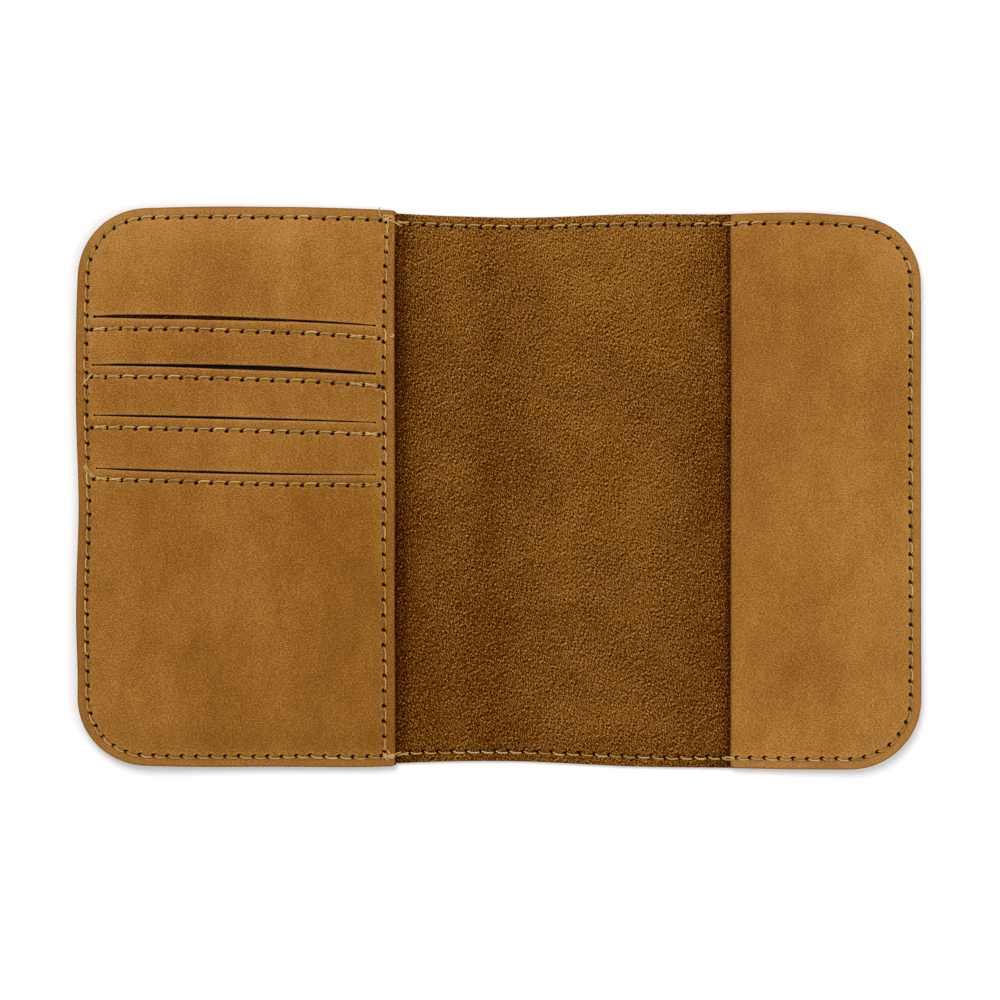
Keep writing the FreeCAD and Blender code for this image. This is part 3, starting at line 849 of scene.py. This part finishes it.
class Material:
    """A node material with short calls for its nodes."""

    def __init__(self, name):
        self.made = bpy.data.materials.new(name)
        self.made.use_nodes = True
        self.tree = self.made.node_tree
        self.shader = self.tree.nodes["Principled BSDF"]

    def node(self, kind, inputs=None, **settings):
        made = self.tree.nodes.new(kind)
        for key, value in settings.items():
            setattr(made, key, value)
        for key, value in (inputs or {}).items():
            self.feed(made.inputs[key], value)
        return made

    def feed(self, socket, value):
        if isinstance(value, bpy.types.NodeSocket):
            self.tree.links.new(value, socket)
        else:
            socket.default_value = value

    def stored(self, name, output="Fac"):
        return self.node("ShaderNodeAttribute", attribute_name=name).outputs[output]

    def maths(self, kind, a, b, clamp=False):
        return self.node("ShaderNodeMath", {0: a, 1: b}, operation=kind, use_clamp=clamp).outputs[0]

    def total(self, *values):
        """The values added up."""
        result = values[0]
        for value in values[1:]:
            result = self.maths("ADD", result, value)
        return result

    def scaled(self, value, by, plus=0.0):
        """value * by + plus"""
        return self.node("ShaderNodeMath", {0: value, 1: by, 2: plus}, operation="MULTIPLY_ADD").outputs[0]

    def mapped(self, vector, scale=(1, 1, 1), turn=0.0, move=(0, 0, 0)):
        inputs = {"Vector": vector, "Scale": scale, "Rotation": (0, 0, turn), "Location": move}
        return self.node("ShaderNodeMapping", inputs).outputs[0]

    def noise(self, vector, scale, detail=2.0, roughness=0.5, distortion=0.0):
        inputs = {"Vector": vector, "Scale": scale, "Detail": detail, "Roughness": roughness}
        inputs["Distortion"] = distortion
        return self.node("ShaderNodeTexNoise", inputs).outputs["Fac"]

    def ramp(self, value, stops, smooth_stops=False):
        """Colours or greys along 0 to 1; stops are (place, colour)."""
        node = self.node("ShaderNodeValToRGB", {"Fac": value})
        band = node.color_ramp
        band.interpolation = "EASE" if smooth_stops else "LINEAR"
        while len(band.elements) < len(stops):
            band.elements.new(0.5)
        for element, (place, colour) in zip(band.elements, stops):
            element.position = place
            element.color = colour if hasattr(colour, "__len__") else (colour, colour, colour, 1)
        return node.outputs["Color"]

    def mix(self, share, a, b):
        return self.node("ShaderNodeMix", {0: share, 6: a, 7: b}, data_type="RGBA").outputs[2]

    def bump(self, height, strength, distance, normal=None):
        inputs = {"Height": height, "Strength": strength, "Distance": distance}
        if normal is not None:
            inputs["Normal"] = normal
        return self.node("ShaderNodeBump", inputs).outputs[0]

    def finish(self, colour, roughness, normal, sheen=0.0, sheen_tint=(1, 1, 1, 1), specular=0.25):
        values = {"Base Color": colour, "Roughness": roughness, "Normal": normal, "Sheen Weight": sheen}
        values |= {"Sheen Roughness": 0.55, "Sheen Tint": sheen_tint, "Specular IOR Level": specular}
        for name, value in values.items():
            self.feed(self.shader.inputs[name], value)
        return self.made


def even(*colours):
    """Colour stops at even distances from 0 to 1."""
    return [(i / (len(colours) - 1), tone(*colour)) for i, colour in enumerate(colours)]


# painted shade for the inside of stitch holes and the grooves beside the threads
PAINTED_HOLE_SHADE = tone(26, 1, 0)
NUBUCK = even((117, 66, 12), (137, 85, 25), (155, 101, 36), (171, 117, 50), (190, 140, 74))
SUEDE = even((42, 10, 0), (74, 31, 0), (96, 51, 2), (117, 70, 12), (141, 93, 32), (182, 130, 62))
KHAKI = [
    (0.0, tone(98, 56, 8)),
    (0.35, tone(156, 110, 42)),
    (0.65, tone(202, 158, 84)),
    (1.0, tone(248, 216, 150)),
]


def nubuck(name, across, up, span=((-131, 131), (-87, 87)), seed=0.0):
    """Tan nubuck: a fine velvety grain over soft, slightly streaky clouds.

    across and up are stops that give its tone over span, the plan's x and y between which they run."""
    m = Material(name)
    place = m.stored("plan", "Vector")
    axes = m.node("ShaderNodeSeparateXYZ", {0: place}).outputs
    plan = m.mapped(place, move=(seed, seed * 1.7, 0))
    streaky = m.mapped(plan, scale=(1.0, 0.55, 1.0))
    clouds = m.noise(streaky, 0.03, 3, 0.55, 0.3)
    patches = m.noise(streaky, 0.13, 4, 0.65)
    mottle = m.noise(plan, 0.45, 2, 0.5)
    brushed = m.mapped(plan, scale=(0.62, 1.0, 1.0))
    grain = m.noise(brushed, 2.7, 2, 0.5)
    fine = m.noise(brushed, 4.6, 3, 0.6)
    parts = ((clouds, 0.78), (patches, 0.55), (mottle, 0.34), (grain, 2.45), (fine, 1.75))
    value = m.total(*(m.scaled(part, much, -much / 2) for part, much in parts))
    for axis, (low, high), stops in zip(axes, span, (across, up)):
        share = m.scaled(axis, 1 / (high - low), -low / (high - low))
        value = m.total(value, m.ramp(share, stops, smooth_stops=True))
    # painted highlight on the slits' and the holes' lips
    value = m.total(value, m.scaled(m.stored("painted_lip_highlight"), 0.45))
    colour = m.ramp(value, NUBUCK)
    dull = m.maths("MULTIPLY", m.noise(plan, 0.022, 2, 0.5), 0.8, clamp=True)
    colour = m.mix(m.scaled(dull, 0.5, -0.12), colour, tone(158, 110, 56))
    colour = m.mix(m.scaled(m.stored("rim"), 0.24), colour, tone(170, 118, 62))
    colour = m.mix(m.scaled(m.stored("edge"), 0.6), colour, tone(112, 70, 24))
    # painted shade in the stitch holes and in the grooves beside the threads
    colour = m.mix(m.stored("hole"), colour, PAINTED_HOLE_SHADE)
    normal = m.bump(grain, 0.4, 0.0002, m.bump(fine, 0.4, 0.00012))
    warm = tone(225, 160, 80)
    return m.finish(colour, m.scaled(grain, 0.2, 0.78), normal, sheen=0.05, sheen_tint=warm, specular=0.05)


# Tone of the suede from the panel's inner edge to the flap's: its dark ends are painted shadow from the
# panel's and the flap's raised edges over a darker nap, with a painted crease shade near the panel
SUEDE_TONE_AND_SHADOW = [
    *((0.0, 0.08), (0.013, 0.22), (0.024, 0.16), (0.04, 0.34), (0.08, 0.46)),
    *((0.18, 0.55), (0.29, 0.43), (0.4, 0.53), (0.52, 0.62)),
    *((0.84, 0.55), (0.96, 0.42), (0.985, 0.3), (1.0, 0.12)),
]
SUEDE_UP = [(0.0, 0.0), (0.3, 0.02), (0.75, 0.06), (1.0, 0.17)]  # and from its bottom edge to its top


def suede():
    """The flesh side: a brushed nap in short steep streaks, lighter where it has been stroked."""
    m = Material("suede_flesh_side")
    plan = m.stored("plan", "Vector")
    axes = m.node("ShaderNodeSeparateXYZ", {0: plan}).outputs
    sway = m.noise(plan, 0.06, 2, 0.5)
    shift = m.node("ShaderNodeCombineXYZ", {0: m.scaled(sway, 4.0), 1: 0.0, 2: 0.0}).outputs[0]
    bent = m.node("ShaderNodeVectorMath", {0: plan, 1: shift}, operation="ADD").outputs[0]
    turned = m.mapped(bent, turn=math.radians(-27))
    nap = m.noise(m.mapped(turned, scale=(1.0, 0.38, 1.0)), 3.6, 1.0, 0.5)
    fibres = m.noise(m.mapped(turned, scale=(1.0, 0.25, 1.0)), 9.0, 2.0, 0.6)
    turned_back = m.mapped(bent, turn=math.radians(16))
    cross_nap = m.noise(m.mapped(turned_back, scale=(1.0, 0.4, 1.0)), 3.0, 1.0, 0.5)
    clouds = m.noise(plan, 0.035, 3, 0.55, 0.5)
    patches = m.noise(plan, 0.12, 4, 0.6, 0.5)
    share = m.scaled(axes[0], 1 / (FLAP_EDGE - PANEL_EDGE), -PANEL_EDGE / (FLAP_EDGE - PANEL_EDGE))
    height = m.scaled(axes[1], 1 / (2 * HALF_H), 0.5)
    value = m.total(
        # tone across the suede, with painted shadow beside the panel and the flap
        m.ramp(share, SUEDE_TONE_AND_SHADOW),
        m.ramp(height, SUEDE_UP),
        m.scaled(clouds, 0.42, -0.25),
        m.scaled(patches, 0.3, -0.16),
        m.scaled(nap, 4.1, -2.1),
        m.scaled(cross_nap, 0.6, -0.31),
        m.scaled(fibres, 0.55, -0.28),
    )
    # painted shade in the stitch holes and in the grooves beside the threads
    colour = m.mix(m.stored("hole"), m.ramp(value, SUEDE), PAINTED_HOLE_SHADE)
    normal = m.bump(nap, 0.3, 0.0001, m.bump(cross_nap, 0.3, 0.0001))
    return m.finish(colour, 0.9, normal, sheen=0.03, sheen_tint=tone(200, 130, 60), specular=0.0)


def raw_edge():
    """The cut edge of the leather: fibrous, a little darker than the grain."""
    m = Material("raw_cut_edge")
    plan = m.stored("plan", "Vector")
    fibres = m.noise(m.mapped(plan, scale=(1, 1, 6)), 2.2, 4, 0.7)
    patches = m.noise(plan, 0.2, 3, 0.6)
    value = m.total(m.scaled(fibres, 0.9, -0.1), m.scaled(patches, 0.4, -0.2))
    colour = m.ramp(value, even((94, 56, 24), (148, 100, 52), (192, 144, 92)))
    return m.finish(colour, 0.9, m.bump(fibres, 0.6, 0.0002), sheen=0.1, specular=0.1)


def twisted_thread():
    """Khaki thread: a painted highlight on top of each ply and painted shade between them, with fine fibres
    along it.
    """
    m = Material("khaki_thread")
    plan = m.stored("plan", "Vector")
    ply = m.stored("ply")
    fibres = m.noise(plan, 5.0, 3, 0.7)
    lengths = m.noise(plan, 0.25, 2, 0.5)
    # ply brings the painted ply highlight and shade into the colour
    value = m.total(m.scaled(ply, 1.1, -0.15), m.scaled(fibres, 0.5, -0.25), m.scaled(lengths, 0.5, -0.25))
    warm, normal = tone(225, 180, 90), m.bump(fibres, 0.5, 0.0001)
    return m.finish(m.ramp(value, KHAKI), 0.75, normal, sheen=0.04, sheen_tint=warm, specular=0.12)


def woven_lining():
    """Dark brown plain-woven lining, darkened to near black: partly its own colour, partly painted shade
    for the depth of the slits.
    """
    m = Material("brown_lining")
    plan = m.stored("plan", "Vector")
    wave = {"Vector": plan, "Scale": 0.9, "Distortion": 0.4}
    warp = m.node("ShaderNodeTexWave", wave, bands_direction="X").outputs["Fac"]
    weft = m.node("ShaderNodeTexWave", wave, bands_direction="Y").outputs["Fac"]
    weave = m.maths("MULTIPLY", warp, weft)
    slub = m.noise(m.mapped(plan, scale=(0.3, 2, 1)), 0.8, 3, 0.6)
    value = m.total(m.scaled(weave, 0.6, 0.1), m.scaled(slub, 0.4, -0.1))
    colour = m.ramp(value, even((10, 4, 3), (34, 18, 12)))
    return m.finish(colour, 0.85, m.bump(weave, 0.6, 0.0001), sheen=0.1, specular=0.15)


# -------- the pieces


def dress(piece, body, slot, replaced, *materials):
    """Gives a piece its materials and hides the CAD nodes it replaces. If body is one name, the piece is
    parented to that body; if it is two names and where it bends, only its transform is baked in. slot is
    not used.
    """
    for material in materials:
        piece.data.materials.append(material)
    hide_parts(*replaced)
    if isinstance(body, str):
        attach(piece, body)
    else:
        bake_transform(piece)


panel_leather = nubuck(
    "nubuck_card_panel",
    # the first across stops darken the left rim: painted shade where the rim turns away from the light
    [(0.0, 0.02), (0.035, 0.02), (0.05, 0.2), (0.22, 0.12), (1.0, 0.06)],
    [(0.0, 0.36), (0.06, 0.27), (0.3, 0.29), (0.7, 0.32), (0.84, 0.42), (1.0, 0.62)],
    ((-131, -32), (-87, 87)),
)
flap_leather = nubuck(
    "nubuck_flap",
    [(0.0, 0.05), (0.2, 0.08), (0.7, 0.12), (1.0, 0.18)],
    [(0.0, 0.62), (0.2, 0.43), (0.6, 0.44), (1.0, 0.52)],
    ((72, 131), (-87, 87)),
    seed=200,
)
outside_leather = nubuck(
    "nubuck_outside",
    [(0.0, 0.1), (0.5, 0.04), (1.0, 0.1)],
    [(0.0, 0.4), (1.0, 0.44)],
    seed=500,
)
flesh = suede()
cut_edge = raw_edge()
sewing_thread = twisted_thread()
lining_cloth = woven_lining()

FRONT_FOLD = ("front", "spine", -FOLD)
BACK_FOLD = ("spine", "back", FOLD)


def make_cover():
    """The outer leather, in two pieces that meet along the middle of the spine."""
    for side, name, folded in ((-1, "outer_cover_front", FRONT_FOLD), (1, "outer_cover_back", BACK_FOLD)):
        loop = tucked(outline(side, 0.0, corner=0))
        shown = perimeter.where(lambda x, y: PANEL_EDGE - 1 < x < FLAP_EDGE + 1 and side * x > -4)
        all_round = perimeter.where(lambda x, y: side * x > -4)
        nodes = ["cover_front", "cover_spine"] if side < 0 else ["cover_back"]
        seams, outside = [(perimeter, shown)], [(perimeter, all_round)]
        piece = leather(name, [loop], cover_top, outer_surface, seams, 1.4, outside, 0.0)
        dress(piece, folded, "cover_leather", nodes, flesh, outside_leather, cut_edge)


def make_inner_leather():
    """The card panel, the backing behind its pockets, and the flap."""
    sewn_front = perimeter.where(lambda x, y: x < PANEL_EDGE - 0.5)
    sewn_back = perimeter.where(lambda x, y: x > FLAP_EDGE + 0.5)
    seams = [(perimeter, sewn_front), (panel_edge_seam, range(len(panel_edge_seam.holes)))]
    seams += [(seam, range(len(seam.holes))) for seam in slot_seams]
    loops = [outline(-1, PANEL_EDGE), *(cut_line(slit) for slit in SLITS)]
    panel = leather("card_panel_leather", loops, panel_top, under(panel_top, LEATHER), seams, 1.3)
    dress(panel, "front", "panel_leather", ["card_panel"], panel_leather, flesh, cut_edge)
    loops = [outline(-1, PANEL_EDGE + 0.4)]
    backing = leather("pocket_backing_leather", loops, backing_top, under(backing_top, BACKING), [], 2.4)
    dress(backing, "front", "backing_leather", ["pocket_backing"], flesh, flesh, cut_edge)
    loops, seams = [outline(1, FLAP_EDGE)], [(perimeter, sewn_back)]
    flap = leather("notebook_flap_leather", loops, flap_top, under(flap_top, LEATHER), seams, 1.3)
    dress(flap, "back", "panel_leather", ["notebook_flap"], flap_leather, flesh, cut_edge)


# The perimeter seam's halves: side, name, fold, the x about which the seam is doubled, how far to each
# side of it, and how the doubled strands lie
HALVES = (
    (-1, "front", FRONT_FOLD, PANEL_EDGE, 4.2, braided),
    (1, "back", BACK_FOLD, FLAP_EDGE, 2.2, looped),
)


def make_perimeter_threads():
    """The needle thread inside and the bobbin thread outside, each in two pieces that meet on the spine."""
    holes = perimeter.holes
    for side, half, folded, edge, reach, lie in HALVES:
        pairs = [(i, j) for i, j in perimeter.pairs if side * (holes[i][0] + holes[j][0]) > 0]
        doubled = [(i, j) for i, j in pairs if abs((holes[i][0] + holes[j][0]) / 2 - edge) < reach]
        needle, bobbin = Thread(), Thread()
        sew(needle, perimeter, pairs, inner_surface, 40 + side, 1, doubled, lie)
        sew(bobbin, perimeter, pairs, outer_surface, 40 + side, -1)
        if half == "front":
            for number, strand in enumerate(TANGLES):
                loose_end(needle, strand, number)
        for kind, thread in (("needle", needle), ("bobbin", bobbin)):
            nodes = [f"perimeter_{kind}_thread_{half}"]
            if half == "front":
                nodes.append(f"perimeter_{kind}_thread_spine")
            piece = thread.piece(f"perimeter_{kind}_stitches_{half}")
            dress(piece, folded, "thread", nodes, sewing_thread)


def make_panel_edge_threads():
    """The seam down the panel's inner edge: needle thread above, bobbin thread below."""
    seam = panel_edge_seam
    last = len(seam.holes) - 1
    needle, bobbin = Thread(), Thread()
    sew(needle, seam, seam.pairs, inner_surface, 61, doubled=[(0, 1), (1, 2), (last - 1, last)])
    loose_end(needle, EDGE_TAIL, 6)
    sew(bobbin, seam, seam.pairs, under(backing_top, BACKING + 0.55), 62, -1)
    for kind, thread in (("needle", needle), ("bobbin", bobbin)):
        piece = thread.piece(f"panel_edge_{kind}_stitches")
        dress(piece, "front", "thread", [f"panel_edge_{kind}_thread"], sewing_thread)


def make_slot_threads():
    """The stitches under each slit, doubled at both ends."""
    for number, seam in enumerate(slot_seams):
        thread = Thread()
        last = len(seam.holes) - 1
        doubled = [(0, 1), (1, 2), (last - 2, last - 1), (last - 1, last)]
        sew(thread, seam, seam.pairs, inner_surface, 70 + number, doubled=doubled)
        for tail in TAILS.get(number, ()):
            loose_end(thread, tail, 80 + number)
        piece = thread.piece(f"slot_stitches_{number + 1}")
        dress(piece, "front", "thread", [f"slot_thread_{number + 1}"], sewing_thread)


def make_linings():
    """The fabric sheet behind each slit."""
    for number in range(len(SLITS)):
        node = f"pocket_lining_{number + 1}"
        low, high = corners_of(node)
        low.x = LINING_SIDE - HALF_W

        def face(x, y, start=high.y, behind=len(SLITS) - 1 - number):
            return lining_top(x, y, start, behind)

        loop = evenly([[low.x, low.y], [high.x, low.y], [high.x, high.y], [low.x, high.y]], 2.0)
        piece = leather(f"lining_{number + 1}", [loop], face, under(face, LINING), [], 2.6)
        dress(piece, "front", "lining_fabric", [node], lining_cloth, lining_cloth, lining_cloth)


# -------- floor, light and camera

VIEW_WIDTH, VIEW_MIDDLE = 0.311, (0.0005, -0.0039)  # what the camera takes in at the floor, in metres
LENS = 100.0


def make_floor():
    size = 2.0
    mesh = bpy.data.meshes.new("floor")
    corners = [(-size, -size, 0), (size, -size, 0), (size, size, 0), (-size, size, 0)]
    mesh.from_pydata(corners, [], [(0, 1, 2, 3)])
    m = Material("pale_floor")
    m.feed(m.shader.inputs["Base Color"], (0.98, 0.98, 0.98, 1))
    m.feed(m.shader.inputs["Roughness"], 0.9)
    mesh.materials.append(m.made)
    placed("floor", mesh)


def make_light(name, place, size, power):
    """A soft square lamp that points at the middle of the cover."""
    lamp = bpy.data.lights.new(name, "AREA")
    lamp.shape = "SQUARE"
    lamp.size = size
    lamp.energy = power
    made = placed(name, lamp)
    made.location = place
    made.rotation_euler = (-Vector(place)).to_track_quat("-Z", "Y").to_euler()


def make_sky(strength):
    """An even white sky, and colours shown as they are."""
    world = bpy.data.worlds.new("studio")
    world.use_nodes = True
    sky = world.node_tree.nodes["Background"].inputs
    sky["Color"].default_value = (1, 1, 1, 1)
    sky["Strength"].default_value = strength
    bpy.context.scene.world = world
    bpy.context.scene.view_settings.view_transform = "Standard"


def make_camera():
    """Straight down on the open cover, from far enough that it looks flat."""
    data = bpy.data.cameras.new("camera")
    data.lens = LENS
    data.clip_end = 20
    camera = placed("camera", data)
    camera.location = (*VIEW_MIDDLE, VIEW_WIDTH * LENS / data.sensor_width)
    bpy.context.scene.camera = camera


make_cover()
make_inner_leather()
make_linings()
make_perimeter_threads()
make_panel_edge_threads()
make_slot_threads()

make_floor()
make_light("key", (-0.4, 0.9, 1.5), 0.9, 16.5)
make_light("fill", (0.9, -0.3, 1.4), 1.2, 7.7)
make_sky(0.56)
make_camera()
